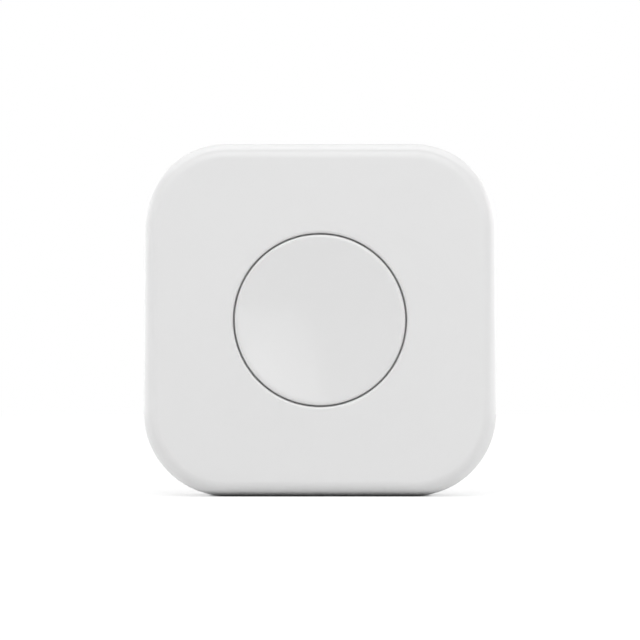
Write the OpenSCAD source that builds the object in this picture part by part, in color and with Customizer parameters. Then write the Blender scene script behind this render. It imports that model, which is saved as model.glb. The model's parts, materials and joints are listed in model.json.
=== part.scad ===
// Square wireless button: a dished round cap in a rounded-square casing.
// It stands on its lower edge, with the cap facing -Y and the mounting pad facing +Y.
// Each module draws its piece with Z from the back of the casing to the front, and upright() stands it up.
// Lengths are in millimetres and angles in degrees.

/* [Casing] */
// Width and height of the casing, seen from the front
casing_w = 45; // [43:0.5:54]
// Depth of the casing, from the back of the base to the front face
casing_d = 12; // [11.4:0.1:16]
// Radius of the four corners, seen from the front
corner_r = 10.6; // [8.5:0.1:12]
// Radius of the round-over along the front edge
front_edge_r = 2; // [0.6:0.1:3]
// Radius of the round-over along the back edge of the base
rear_edge_r = 0.6; // [0.2:0.1:1]
// Thickness of the cover's side wall
side_wall = 1.6; // [1.2:0.1:2.2]
// Thickness of the cover's front wall
front_wall = 1.8; // [1.4:0.1:2.4]
// Thickness of the base plate
base_t = 2; // [1.6:0.1:2.4]
// Height of the base's rim that shows behind the cover
rim_h = 1.4; // [1.1:0.1:1.5]
// Width of the shadow gap between the rim and the cover
seam_gap = 0.25; // [0.1:0.05:0.5]
// How far the rim stands in from the cover's side
rim_inset = 0.2; // [0.1:0.05:0.5]
// Height of the locating lip that the base carries inside the cover
lip_h = 1.2; // [0.6:0.1:2]
// Thickness of the locating lip
lip_t = 1; // [0.6:0.1:1.4]
// Clearance between moulded pieces that locate in each other
fit_gap = 0.1; // [0.05:0.01:0.2]
// Size of the small chamfer that breaks moulded edges
edge_break = 0.15; // [0.05:0.05:0.25]

/* [Button] */
// Diameter of the round opening in the front wall
opening_d = 22.3; // [18:0.1:24]
// Width of the gap that shows around the cap
cap_gap = 0.3; // [0.15:0.05:0.6]
// Depth of the dish in the cap's face
dish_depth = 0.45; // [0.1:0.05:0.8]
// Thickness of the cap at the middle of its dish
cap_t = 1.2; // [0.8:0.1:1.6]
// Thickness of the cap's skirt
skirt_t = 1; // [0.8:0.1:1.6]
// How far the cap's flange reaches behind the front wall
flange_w = 1; // [0.7:0.1:1.4]
// Thickness of the cap's flange
flange_t = 1; // [0.7:0.1:1.2]
// How far the cap travels when it is pressed
travel = 0.4; // [0.2:0.05:0.5]
// Running clearance of the flange in its guide collar
guide_gap = 0.08; // [0.04:0.01:0.1]
// Thickness of the guide collar
collar_t = 1.2; // [0.8:0.1:1.8]
// How far the collar guides past the flange's lowest place
collar_spare = 0.3; // [0.1:0.1:0.5]
// Number of keys that stop the cap turning
key_count = 3; // [2:1:6]
// Width of each key
key_w = 2; // [1:0.1:3]
// How far each key stands into the flange
key_depth = 0.6; // [0.4:0.1:0.8]
// Diameter of the post that presses on the switch
post_d = 3.4; // [2.6:0.1:5]
// Number of ribs under the cap
rib_count = 6; // [3:1:8]
// Thickness of each rib
rib_t = 0.8; // [0.5:0.1:1.2]
// Height of each rib
rib_h = 0.8; // [0.4:0.1:1]

/* [Tactile switch] */
// Width of the switch's square body
switch_w = 5.2; // [4.6:0.1:6.2]
// Height of the switch, from the board to the top of its plunger
switch_h = 2.2; // [2.1:0.1:2.8]
// Thickness of the floor of the switch's base
switch_floor = 0.35; // [0.25:0.05:0.45]
// Diameter of the snap dome
dome_d = 3.6; // [3.2:0.1:3.8]
// Thickness of the snap dome
dome_t = 0.08; // [0.06:0.01:0.1]
// Diameter of the plunger's stem
stem_d = 2.3; // [1.8:0.1:2.4]
// How far the plunger's foot reaches past its stem
foot_w = 0.45; // [0.3:0.05:0.5]
// Height of the plunger's foot
foot_h = 0.4; // [0.3:0.05:0.5]
// Running clearance of the plunger
plunger_gap = 0.05; // [0.03:0.01:0.08]
// Thickness of the switch's steel cover
switch_cover_t = 0.2; // [0.15:0.05:0.25]
// Thickness of the switch's terminals
terminal_t = 0.15; // [0.1:0.05:0.2]
// Width of each terminal
terminal_w = 0.7; // [0.5:0.1:0.9]
// Length of each terminal's foot on the board
terminal_l = 0.9; // [0.6:0.1:1.2]
// Height of each terminal's leg
terminal_h = 0.8; // [0.5:0.1:1]
// Distance between the two terminals on one side
terminal_pitch = 3; // [2.4:0.1:3.4]
// Width of the clips that fold down from the steel cover
clip_w = 2; // [1.2:0.1:2.6]
// Length of the clips
clip_l = 0.8; // [0.5:0.1:1]

/* [Circuit board] */
// Thickness of the board
board_t = 1; // [0.8:0.1:1.2]
// Distance from the board's edge to the cover's side wall
board_gap = 1.2; // [0.5:0.1:1.6]
// Clearance between parts on the board
part_gap = 0.8; // [0.5:0.1:1]
// Distance from the board's edge to the parts along it
edge_inset = 2.5; // [1.5:0.1:3]
// Width of the radio chip
chip_w = 5; // [4:0.1:6]
// Height of the radio chip
chip_h = 0.85; // [0.7:0.05:1]
// Length of the main crystal
crystal_l = 3.2; // [2:0.1:3.4]
// Width of the main crystal
crystal_w = 2.5; // [1.6:0.1:2.6]
// Length of the clock crystal
clock_l = 2; // [1.6:0.1:2.2]
// Width of the clock crystal
clock_w = 1.6; // [1:0.1:1.8]
// Height of the crystals
crystal_h = 0.7; // [0.5:0.05:0.9]
// Height of the crystals' ceramic bases
crystal_base_h = 0.3; // [0.2:0.05:0.4]
// Width of the base that shows around a crystal's lid
crystal_margin = 0.2; // [0.1:0.05:0.3]
// Length of the chip antenna
antenna_l = 7; // [3:0.1:8]
// Width of the chip antenna
antenna_w = 2; // [1.2:0.1:2.4]
// Height of the chip antenna
antenna_h = 0.8; // [0.5:0.05:1]
// Length of the bulk capacitor
bulk_l = 3.2; // [2:0.1:3.6]
// Width of the bulk capacitor
bulk_w = 2.5; // [1.6:0.1:2.8]
// Height of the bulk capacitor
bulk_h = 1.1; // [0.8:0.1:1.4]
// Length of the status light
led_l = 1.6; // [1.2:0.1:2]
// Width of the status light
led_w = 0.8; // [0.6:0.1:1.2]
// Height of the status light
led_h = 0.6; // [0.45:0.05:0.9]
// Height of the status light's base
led_base_h = 0.3; // [0.2:0.05:0.35]
// Length of the status light's lens
led_lens_l = 1; // [0.6:0.1:1.1]
// Length of each small chip part
passive_l = 1.6; // [1:0.1:1.8]
// Width of each small chip part
passive_w = 0.8; // [0.5:0.1:1]
// Height of each small chip part
passive_h = 0.55; // [0.35:0.05:0.8]
// Distance between small chip parts in a row
passive_pitch = 1.7; // [1.2:0.1:2]
// Number of small chip parts in each row
passive_count = 4; // [2:1:5]

/* [Coin cell] */
// Diameter of the coin cell
cell_d = 20; // [16:0.5:23]
// Height of the coin cell
cell_h = 3.2; // [2.5:0.1:3.6]
// Thickness of the cell's steel
cell_wall = 0.25; // [0.15:0.05:0.35]
// Width of the can's rim that is crimped over the gasket
crimp_w = 0.8; // [0.6:0.1:1.1]
// Height of the cell's cap above the crimped rim
cap_step = 0.25; // [0.15:0.05:0.4]
// Width of the gasket ring that shows around the cell's cap
gasket_w = 0.3; // [0.2:0.05:0.4]
// Height of the gasket's foot above the back of the cell
gasket_foot = 1.4; // [1:0.1:1.6]
// Size of the chamfers on the can's edges
can_edge = 0.3; // [0.2:0.05:0.4]
// Clearance between the nested pieces of the cell
cell_fit = 0.02; // [0.01:0.01:0.03]

/* [Battery compartment] */
// Thickness of the door behind the cell
door_floor = 1.8; // [1.5:0.1:2]
// Clearance between the door and the cell
cell_seat_gap = 0.1; // [0.05:0.05:0.2]
// Clearance around the cell in the door's pocket
pocket_gap = 0.5; // [0.3:0.1:0.8]
// Thickness of the door's neck
neck_t = 1; // [0.8:0.1:1.4]
// Thickness of the door's flange
door_flange_t = 0.9; // [0.7:0.1:1.1]
// Width of the ledge that the door's flange and lugs grip
ledge_w = 1.2; // [1:0.1:1.6]
// How far the lugs stay inside the door's edge
lug_inset = 0.2; // [0.1:0.05:0.4]
// Running clearance of the door in the base
door_gap = 0.1; // [0.05:0.01:0.2]
// Number of bayonet lugs
lug_count = 3; // [2:1:4]
// Angle that each lug spans
lug_angle = 26; // [16:1:30]
// Thickness of the lugs
lug_t = 0.8; // [0.6:0.1:1]
// Clearance between the lugs and the base plate
lug_gap = 0.06; // [0.04:0.01:0.1]
// Angle that the door turns from locked to open
twist_angle = 40; // [36:1:48]
// Spare angle at each end of a notch that a lug passes through
notch_slack = 2; // [1:0.5:3]
// Angle that each stop rib spans
stop_angle = 5; // [3:0.5:6]
// Spare angle between a locked lug and its stop rib
stop_slack = 0.5; // [0.2:0.1:1]
// Length of the coin slot
slot_l = 15; // [10:0.5:18]
// Width of the coin slot
slot_w = 2; // [1.5:0.1:2.5]
// Depth of the coin slot
slot_depth = 1; // [0.6:0.1:1.1]
// Clearance around the cell in its tray
cell_gap = 0.2; // [0.1:0.05:0.4]
// Thickness of the tray's walls
tray_t = 1; // [0.8:0.1:1.4]
// Clearance between the tray and the top of the door's lugs
tray_gap = 0.15; // [0.1:0.05:0.3]
// Clearance between the tray's skirt and the ends of the lugs
skirt_gap = 0.4; // [0.3:0.05:0.6]
// Thickness of the ring on the base that locates the tray
seat_ring_t = 0.8; // [0.6:0.1:1.2]
// Height of the ring on the base that locates the tray
seat_ring_h = 0.8; // [0.4:0.1:1.4]
// Height of the negative contact, from the cell to the board
contact_h = 0.7; // [0.5:0.05:0.9]
// Thickness of the contact strip
contact_t = 0.2; // [0.12:0.02:0.24]
// Width of the positive contact
positive_w = 4; // [2.5:0.1:5]
// Length of the positive contact's foot on the board
positive_foot_l = 3; // [2:0.1:4]
// Clearance between the positive contact and its slot in the tray
positive_gap = 0.3; // [0.2:0.05:0.5]
// Diameter of the negative contact's middle
contact_base_d = 6; // [4:0.1:7]
// Number of the negative contact's fingers
finger_count = 3; // [2:1:4]
// Length of the negative contact's fingers
finger_l = 5; // [3:0.1:5.4]
// Length of the flat at the end of each finger
finger_flat = 1; // [0.6:0.1:1.4]
// Width of the negative contact's fingers
finger_w = 1.2; // [0.8:0.1:1.8]

/* [Screws] */
// Diameter of the screws
screw_d = 1.7; // [1.4:0.1:2]
// Diameter of the screw heads
head_d = 3.1; // [2.6:0.1:3.3]
// Height of the screw heads
head_h = 0.9; // [0.7:0.1:1]
// Length of thread in the cover's bosses
thread_l = 2.4; // [1.6:0.1:2.8]
// Distance from the casing's side to the screws
screw_inset = 7.2; // [6.6:0.1:7.6]
// Diameter of the bosses and posts that the screws pass through
boss_d = 4.2; // [3.8:0.1:4.8]
// Clearance between a screw and the holes that it passes through
screw_gap = 0.1; // [0.05:0.01:0.15]
// Clearance between a screw and its pilot hole in a boss
thread_gap = 0.02; // [0.01:0.01:0.04]
// Depth that a pilot hole has to spare past the screw's tip
pilot_spare = 0.3; // [0.1:0.1:0.5]
// Height of the screw's point
point_h = 0.5; // [0.3:0.1:0.8]
// Diameter of the screw's blunt tip
tip_d = 0.4; // [0.2:0.1:0.6]
// Length of each arm of the cross recess
recess_l = 1.8; // [1.2:0.1:2.2]
// Width of each arm of the cross recess
recess_w = 0.4; // [0.3:0.05:0.5]
// Depth of the cross recess
recess_depth = 0.45; // [0.3:0.05:0.55]

/* [Mounting pad] */
// Thickness of the adhesive foam pad
pad_t = 0.8; // [0.6:0.1:1.2]
// How far the pad stands out behind the base
pad_proud = 0.4; // [0.3:0.05:0.5]
// Distance from the casing's side to the pad
pad_margin = 2.2; // [1.6:0.1:3]
// Distance from the door to the pad
pad_door_gap = 1.8; // [1.4:0.1:2.4]
// Diameter of the dots that mark the door's locked and open places
dot_d = 0.9; // [0.6:0.1:1]
// Depth of the dots
dot_depth = 0.25; // [0.15:0.05:0.3]

/* [Hidden] */
$fn = 96;
// Overlap that lets one shape cut or join another cleanly
eps = 0.05;

// Heights above the back of the base
z_cover = rim_h + seam_gap;
z_front_in = casing_d - front_wall;
z_cell = door_floor + cell_seat_gap;
z_contact = z_cell + cell_h;
z_board = z_contact + contact_h;
z_board_front = z_board + board_t;
z_plunger_top = z_board_front + switch_h;
z_lug = base_t + lug_gap;
z_neck_top = z_lug + lug_t;
z_tray = z_neck_top + tray_gap;
z_pad_seat = pad_t - pad_proud;
z_head_seat = z_pad_seat + head_h;

// Outlines of the casing
cavity_w = casing_w - 2 * side_wall;
cavity_r = corner_r - side_wall;
rim_w = casing_w - 2 * rim_inset;
rim_r = corner_r - rim_inset;
plate_w = cavity_w - 2 * fit_gap;
plate_r = cavity_r - fit_gap;
board_w = cavity_w - 2 * board_gap;
board_r = cavity_r - board_gap;
screw_place = casing_w / 2 - screw_inset;

// Cap and its guide
opening_r = opening_d / 2;
cap_r = opening_r - cap_gap;
cap_face_r = cap_r - edge_break;
dish_r = (pow(cap_face_r, 2) + pow(dish_depth, 2)) / (2 * dish_depth);
z_cap_under = casing_d - dish_depth - cap_t;
skirt_r = cap_r - skirt_t;
flange_r = opening_r + flange_w;
z_flange = z_front_in - flange_t;
collar_r = flange_r + guide_gap;
z_collar = z_flange - travel - collar_spare;
key_slot_r = collar_r - key_depth - 2 * guide_gap;
key_slot_w = key_w + 2 * guide_gap;

// Tactile switch, above the front of the board
dome_h = travel + dome_t;
foot_d = stem_d + 2 * foot_w;
switch_well_d = max(dome_d, foot_d) + 2 * plunger_gap;
z_dome = z_board_front + switch_floor;
z_foot = z_dome + dome_h + plunger_gap;
z_switch_cover = z_foot + foot_h + plunger_gap;
dome_r = (pow(dome_d / 2, 2) + pow(dome_h, 2)) / (2 * dome_h);

// Battery door, its opening and the tray
cell_r = cell_d / 2;
pocket_r = cell_r + pocket_gap;
neck_r = pocket_r + neck_t;
door_r = neck_r + ledge_w;
lug_r = door_r - lug_inset;
locked_stop_turn = lug_angle / 2 + stop_slack + stop_angle / 2;
open_stop_turn = -twist_angle - lug_angle / 2 - notch_slack - stop_angle / 2;
tray_r = cell_r + cell_gap;
tray_skirt_r = lug_r + skirt_gap;
tray_outer_r = tray_skirt_r + tray_t;
seat_ring_r = tray_outer_r + fit_gap;
dot_ring_r = door_r + door_gap + (pad_door_gap - door_gap) / 2;
door_dot_r = door_r - dot_d;

// Coin cell, above its own lower face
z_crimp = cell_h - cap_step;
rim_in_r = cell_r - crimp_w;
cell_cap_r = rim_in_r - gasket_w;
can_in_r = cell_r - cell_wall;
z_crimp_in = z_crimp - cell_wall;

// Screws
screw_r = screw_d / 2;
screw_hole_r = screw_r + screw_gap;
z_screw_tip = z_board_front + thread_l;

// Mounting pad
pad_w = casing_w - 2 * pad_margin;
pad_r = corner_r - pad_margin;
pad_hole_r = door_r + pad_door_gap;

// Places of the parts on the front of the board, clear of the guide collar and around the switch
switch_reach_x = switch_w / 2 + terminal_l;
switch_reach_y = switch_w / 2 + switch_cover_t;
chip_place = [0, switch_reach_y + part_gap + chip_w / 2];
led_place = [chip_w / 2 + part_gap + led_l / 2, chip_place[1]];
clock_place = [-chip_w / 2 - part_gap - clock_l / 2, chip_place[1]];
crystal_place = [-(crystal_l + part_gap) / 2, -switch_reach_y - part_gap - crystal_w / 2];
bulk_place = [(bulk_l + part_gap) / 2, -switch_reach_y - part_gap - bulk_w / 2];
antenna_place = [0, board_w / 2 - edge_inset - antenna_w / 2];
switch_row_x = switch_reach_x + part_gap + passive_l / 2;
edge_row_x = board_w / 2 - edge_inset - passive_l / 2;
passive_rows = [-switch_row_x, switch_row_x, edge_row_x];
passive_top = passive_pitch * (passive_count - 1) / 2;

// Places of the two contacts on the back of the board
positive_r = cell_r + cell_fit;
contact_base_r = contact_base_d / 2;
finger_tip_r = contact_base_r + finger_l;

// Stands a piece on the casing's lower edge, with the overall depth centred on Y
module upright() {
    translate([0, (casing_d - pad_proud) / 2, casing_w / 2]) rotate([90, 0, 0]) children();
}

module at_z(z) {
    translate([0, 0, z]) children();
}

module at_corners(distance) {
    for (x = [-1, 1], y = [-1, 1]) translate([x * distance, y * distance]) children();
}

module around(count) {
    for (i = [0:count - 1]) rotate(i * 360 / count) children();
}

module rounded_square(w, r) {
    square([w, w - 2 * r], center = true);
    square([w - 2 * r, w], center = true);
    at_corners(w / 2 - r) circle(r);
}

// A plate with the casing's rounded-square outline
module slab(w, r, h) {
    linear_extrude(h) rounded_square(w, r);
}

// Half section of a wall whose upper outer edge is rounded
module rounded_edge_section(w, h, edge) {
    square([w, h - edge]);
    square([w - edge, h]);
    translate([w - edge, h - edge]) circle(edge);
}

// A rounded-square plate whose upper edge is rounded all the way round
module rounded_slab(w, r, h, edge) {
    straight = w - 2 * r;
    around(4) {
        translate([straight / 2, straight / 2]) rotate_extrude(angle = 90) rounded_edge_section(r, h, edge);
        translate([straight / 2, straight / 2]) rotate([90, 0, 0])
            linear_extrude(straight) rounded_edge_section(r, h, edge);
    }
    translate([-straight / 2, -straight / 2]) cube([straight, straight, h]);
}

module tube(r_in, r_out, h) {
    difference() {
        cylinder(r = r_out, h = h);
        at_z(-eps) cylinder(r = r_in, h = h + 2 * eps);
    }
}

// Part of a ring, centred on the X axis
module ring_sector(r_in, r_out, h, angle) {
    rotate(-angle / 2) rotate_extrude(angle = angle) translate([r_in, 0]) square([r_out - r_in, h]);
}

module block(size, place, z) {
    translate([place[0] - size[0] / 2, place[1] - size[1] / 2, z]) cube(size);
}

// Moulded cover: front wall with the round opening, side wall, guide collar with keys, and screw bosses
module front_cover() {
    color("whitesmoke") difference() {
        union() {
            difference() {
                at_z(z_cover) rounded_slab(casing_w, corner_r, casing_d - z_cover, front_edge_r);
                at_z(z_cover - eps) slab(cavity_w, cavity_r, z_front_in - z_cover + eps);
            }
            at_z(z_collar) tube(collar_r, collar_r + collar_t, z_front_in - z_collar + eps);
            around(key_count) translate([collar_r - key_depth, -key_w / 2, z_collar])
                cube([key_depth + collar_t / 2, key_w, z_front_in - z_collar + eps]);
            at_corners(screw_place) at_z(z_board_front)
                cylinder(d = boss_d, h = z_front_in - z_board_front + eps);
        }
        at_z(z_front_in - eps) cylinder(r = opening_r, h = front_wall + 2 * eps);
        at_z(casing_d - edge_break)
            cylinder(r1 = opening_r, r2 = opening_r + 2 * edge_break, h = 2 * edge_break);
        at_corners(screw_place) at_z(z_board_front - eps)
            cylinder(r = screw_r + thread_gap, h = thread_l + pilot_spare + eps);
    }
}

// Dished cap with its skirt, retaining flange, ribs and the post that presses on the switch
module button_cap() {
    color("white") difference() {
        union() {
            rotate_extrude() cap_section();
            around(rib_count) translate([(post_d - rib_t) / 2, -rib_t / 2, z_cap_under - rib_h])
                cube([skirt_r + (skirt_t + rib_t - post_d) / 2, rib_t, rib_h + eps]);
        }
        around(key_count) translate([key_slot_r, -key_slot_w / 2, z_flange - eps])
            cube([flange_r, key_slot_w, flange_t + 2 * eps]);
    }
}

module cap_section() {
    difference() {
        polygon([
            [0, z_cap_under], [skirt_r, z_cap_under], [skirt_r, z_flange], [flange_r, z_flange],
            [flange_r, z_front_in], [cap_r, z_front_in], [cap_r, casing_d - edge_break],
            [cap_face_r, casing_d], [0, casing_d]
        ]);
        translate([0, casing_d - dish_depth + dish_r]) circle(dish_r, $fn = 720);
    }
    translate([0, z_plunger_top]) square([post_d / 2, z_cap_under - z_plunger_top + eps]);
}

// Moulded base: rim, locating lip, screw posts, tray seat and the bayonet opening for the battery door
module base_plate() {
    color("whitesmoke") difference() {
        union() {
            at_z(rim_h) mirror([0, 0, 1]) rounded_slab(rim_w, rim_r, rim_h, rear_edge_r);
            at_z(rim_h - eps) slab(plate_w, plate_r, base_t - rim_h + eps);
            at_z(base_t - eps) difference() {
                slab(plate_w, plate_r, lip_h + eps);
                at_z(-eps) slab(plate_w - 2 * lip_t, plate_r - lip_t, lip_h + 3 * eps);
            }
            at_z(base_t - eps) tube(seat_ring_r, seat_ring_r + seat_ring_t, seat_ring_h + eps);
            at_corners(screw_place) at_z(base_t - eps) cylinder(d = boss_d, h = z_board - base_t + eps);
            around(lug_count) for (turn = [locked_stop_turn, open_stop_turn]) rotate(turn) at_z(base_t - eps)
                ring_sector(neck_r + 2 * door_gap, lug_r, lug_t + eps, stop_angle);
        }
        at_z(-eps) cylinder(r = neck_r + door_gap, h = base_t + 2 * eps);
        at_z(-eps) cylinder(r = door_r + door_gap, h = door_flange_t + door_gap + eps);
        around(lug_count) rotate(-twist_angle) at_z(-eps)
            ring_sector(neck_r, lug_r + door_gap, base_t + 2 * eps, lug_angle + 2 * notch_slack);
        at_z(-eps) difference() {
            slab(pad_w + 2 * fit_gap, pad_r + fit_gap, z_pad_seat + eps);
            at_z(-eps) cylinder(r = pad_hole_r - fit_gap, h = z_pad_seat + 3 * eps);
        }
        at_corners(screw_place) {
            cylinder(r = screw_hole_r, h = z_board + eps);
            cylinder(r = head_d / 2 + fit_gap, h = z_head_seat);
        }
        for (turn = [0, -twist_angle]) rotate(turn) translate([0, dot_ring_r, -eps])
            cylinder(d = dot_d, h = dot_depth + eps);
    }
}

// Round door with a coin slot outside, a pocket for the cell inside, and bayonet lugs around its neck
module battery_door() {
    color("whitesmoke") difference() {
        union() {
            cylinder(r1 = door_r - edge_break, r2 = door_r, h = edge_break);
            at_z(edge_break) cylinder(r = door_r, h = door_flange_t - edge_break);
            at_z(door_flange_t - eps) cylinder(r = neck_r, h = z_neck_top - door_flange_t + eps);
            around(lug_count) at_z(z_lug) ring_sector(neck_r - neck_t / 2, lug_r, lug_t, lug_angle);
        }
        at_z(door_floor) cylinder(r = pocket_r, h = z_neck_top);
        at_z(-eps) linear_extrude(slot_depth + eps) coin_slot();
        translate([0, door_dot_r, -eps]) cylinder(d = dot_d, h = dot_depth + eps);
    }
}

module coin_slot() {
    square([slot_l - slot_w, slot_w], center = true);
    for (side = [-1, 1]) translate([side * (slot_l - slot_w) / 2, 0]) circle(slot_w / 2);
}

// Ring that holds the cell in front of the door, on a skirt that stands on the base around the lugs
module battery_tray() {
    slot = positive_w + 2 * positive_gap;
    color("gainsboro") difference() {
        rotate_extrude() {
            translate([tray_r, z_tray]) square([tray_t, z_board - z_tray]);
            translate([tray_r, z_tray]) square([tray_outer_r - tray_r, tray_t]);
            translate([tray_skirt_r, base_t]) square([tray_t, z_tray + tray_t - base_t]);
        }
        translate([0, -slot / 2, z_tray - eps]) cube([tray_skirt_r, slot, z_board - z_tray + 2 * eps]);
    }
}

// Foam pad with an adhesive back, cut out around the battery door
module mounting_pad() {
    color("lightgray") at_z(-pad_proud) difference() {
        slab(pad_w, pad_r, pad_t);
        at_z(-eps) cylinder(r = pad_hole_r, h = pad_t + 2 * eps);
    }
}

// Four screws that clamp the base and the board to the cover
module case_screws() {
    color("silver") at_corners(screw_place) difference() {
        union() {
            at_z(z_head_seat - head_h) cylinder(d = head_d, h = head_h);
            at_z(z_head_seat - eps) cylinder(r = screw_r, h = z_screw_tip - point_h - z_head_seat + eps);
            at_z(z_screw_tip - point_h) cylinder(d1 = screw_d, d2 = tip_d, h = point_h);
        }
        for (turn = [0, 90]) rotate(turn)
            block([recess_l, recess_w, recess_depth + eps], [0, 0], z_head_seat - head_h - eps);
    }
}

module circuit_board() {
    color("seagreen") at_z(z_board) difference() {
        slab(board_w, board_r, board_t);
        at_corners(screw_place) at_z(-eps) cylinder(r = screw_hole_r, h = board_t + 2 * eps);
    }
}

// Moulded body of the tactile switch, open at the front for the dome and the plunger
module switch_base() {
    color("dimgray") difference() {
        block([switch_w, switch_w, z_switch_cover - z_board_front], [0, 0], z_board_front);
        at_z(z_board_front + switch_floor) cylinder(d = switch_well_d, h = z_switch_cover);
    }
}

// Steel plate that closes the switch, with two clips folded down its sides
module switch_cover() {
    color("silver") difference() {
        union() {
            block([switch_w, switch_w + 2 * switch_cover_t, switch_cover_t], [0, 0], z_switch_cover);
            for (side = [-1, 1])
                block(
                    [clip_w, switch_cover_t, clip_l + eps],
                    [0, side * (switch_w + switch_cover_t) / 2], z_switch_cover - clip_l
                );
        }
        at_z(z_switch_cover - eps) cylinder(r = stem_d / 2 + plunger_gap, h = switch_cover_t + 2 * eps);
    }
}

// Four bent feet that solder the switch to the board
module switch_terminals() {
    color("silver") for (side = [-1, 1], y = [-1, 1]) {
        block(
            [terminal_l, terminal_w, terminal_t],
            [side * (switch_w + terminal_l) / 2, y * terminal_pitch / 2], z_board_front
        );
        block(
            [terminal_t, terminal_w, terminal_h],
            [side * (switch_w + terminal_t) / 2, y * terminal_pitch / 2], z_board_front
        );
    }
}

// Thin steel dome that snaps flat under the plunger and pushes it back
module switch_dome() {
    color("lightsteelblue") at_z(z_dome + dome_h - dome_r) intersection() {
        difference() {
            sphere(dome_r);
            sphere(dome_r - dome_t);
        }
        at_z(dome_r - dome_h) cylinder(d = 2 * dome_d, h = 2 * dome_h);
    }
}

module switch_plunger() {
    color("darkslategray") {
        at_z(z_foot) cylinder(d = foot_d, h = foot_h);
        at_z(z_foot) cylinder(d = stem_d, h = z_plunger_top - z_foot);
    }
}

module radio_chip() {
    color("black") block([chip_w, chip_w, chip_h], chip_place, z_board_front);
}

// A crystal is a ceramic base with a smaller steel lid
module crystal(l, w, place) {
    block([l, w, crystal_base_h], place, z_board_front);
    block([l - 2 * crystal_margin, w - 2 * crystal_margin, crystal_h], place, z_board_front);
}

module crystals() {
    color("silver") {
        crystal(crystal_l, crystal_w, crystal_place);
        crystal(clock_l, clock_w, clock_place);
    }
}

module chip_antenna() {
    color("ivory") block([antenna_l, antenna_w, antenna_h], antenna_place, z_board_front);
}

module bulk_capacitor() {
    color("tan") block([bulk_l, bulk_w, bulk_h], bulk_place, z_board_front);
}

// Rows of small resistors and capacitors
module chip_passives() {
    color("sienna") for (x = passive_rows, i = [0:passive_count - 1])
        block([passive_l, passive_w, passive_h], [x, passive_top - i * passive_pitch], z_board_front);
}

module status_led() {
    color("lightyellow") {
        block([led_l, led_w, led_base_h], led_place, z_board_front);
        block([led_lens_l, led_w, led_h], led_place, z_board_front);
    }
}

// Sprung fingers on the back of the board that press on the cell's cap
module negative_contact() {
    color("gold") {
        at_z(z_board - contact_t) cylinder(r = contact_base_r, h = contact_t);
        around(finger_count) rotate([90, 0, 0]) at_z(-finger_w / 2) linear_extrude(finger_w) finger_section();
    }
}

module finger_section() {
    bend = finger_tip_r - finger_flat;
    polygon([
        [contact_base_r / 2, z_board], [contact_base_r, z_board], [bend, z_contact + contact_t],
        [finger_tip_r, z_contact + contact_t], [finger_tip_r, z_contact], [bend - contact_t / 2, z_contact],
        [contact_base_r - contact_t / 2, z_board - contact_t], [contact_base_r / 2, z_board - contact_t]
    ]);
}

// Bent strip in the tray's slot, soldered to the board, whose leg lies against the side of the can
module positive_contact() {
    color("gold") {
        translate([positive_r, -positive_w / 2, z_board - contact_t])
            cube([positive_foot_l, positive_w, contact_t]);
        translate([positive_r, -positive_w / 2, z_tray]) cube([contact_t, positive_w, z_board - z_tray]);
    }
}

// Steel cup of the coin cell, crimped in at its rim
module cell_can() {
    color("silver") at_z(z_cell) rotate_extrude() difference() {
        polygon([
            [0, 0], [cell_r - can_edge, 0], [cell_r, can_edge], [cell_r, z_crimp - can_edge],
            [cell_r - can_edge, z_crimp], [0, z_crimp]
        ]);
        translate([0, cell_wall]) square([can_in_r, z_crimp_in - cell_wall]);
        translate([0, cell_wall]) square([rim_in_r, z_crimp]);
    }
}

// Plastic ring between the can and the cap
module cell_gasket() {
    foot_l = can_in_r - cell_fit - cell_cap_r;
    color("gray") at_z(z_cell) rotate_extrude() {
        translate([cell_cap_r, gasket_foot]) square([foot_l, z_crimp_in - gasket_foot]);
        translate([cell_cap_r, gasket_foot]) square([gasket_w - cell_fit, z_crimp - gasket_foot]);
    }
}

// Steel cap of the coin cell
module cell_cap() {
    cap_out_r = cell_cap_r - cell_fit;
    color("silver") at_z(z_cell) rotate_extrude() {
        translate([0, cell_h - cell_wall]) square([cap_out_r, cell_wall]);
        translate([cap_out_r - cell_wall, gasket_foot]) square([cell_wall, cell_h - gasket_foot]);
    }
}

// The cell's chemistry: a pellet below and a disc above, between the can and the cap
module cell_core() {
    disc_r = cell_cap_r - cell_wall - 2 * cell_fit;
    color("darkgray") at_z(z_cell) rotate_extrude() {
        translate([0, cell_wall]) square([can_in_r - cell_fit, gasket_foot - cell_wall]);
        translate([0, cell_wall]) square([disc_r, cell_h - 2 * cell_wall]);
    }
}

upright() front_cover();
upright() button_cap();
upright() base_plate();
upright() battery_door();
upright() battery_tray();
upright() mounting_pad();
upright() case_screws();
upright() circuit_board();
upright() switch_base();
upright() switch_cover();
upright() switch_terminals();
upright() switch_dome();
upright() switch_plunger();
upright() radio_chip();
upright() crystals();
upright() chip_antenna();
upright() bulk_capacitor();
upright() chip_passives();
upright() status_led();
upright() negative_contact();
upright() positive_contact();
upright() cell_can();
upright() cell_gasket();
upright() cell_cap();
upright() cell_core();
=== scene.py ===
import json
from math import cos, pi, radians, sin, sqrt

import bmesh
import bpy
from bpy.props import FloatProperty, FloatVectorProperty, PointerProperty
from bpy.types import Operator, Panel, PropertyGroup
from mathutils import Matrix, Vector


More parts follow.
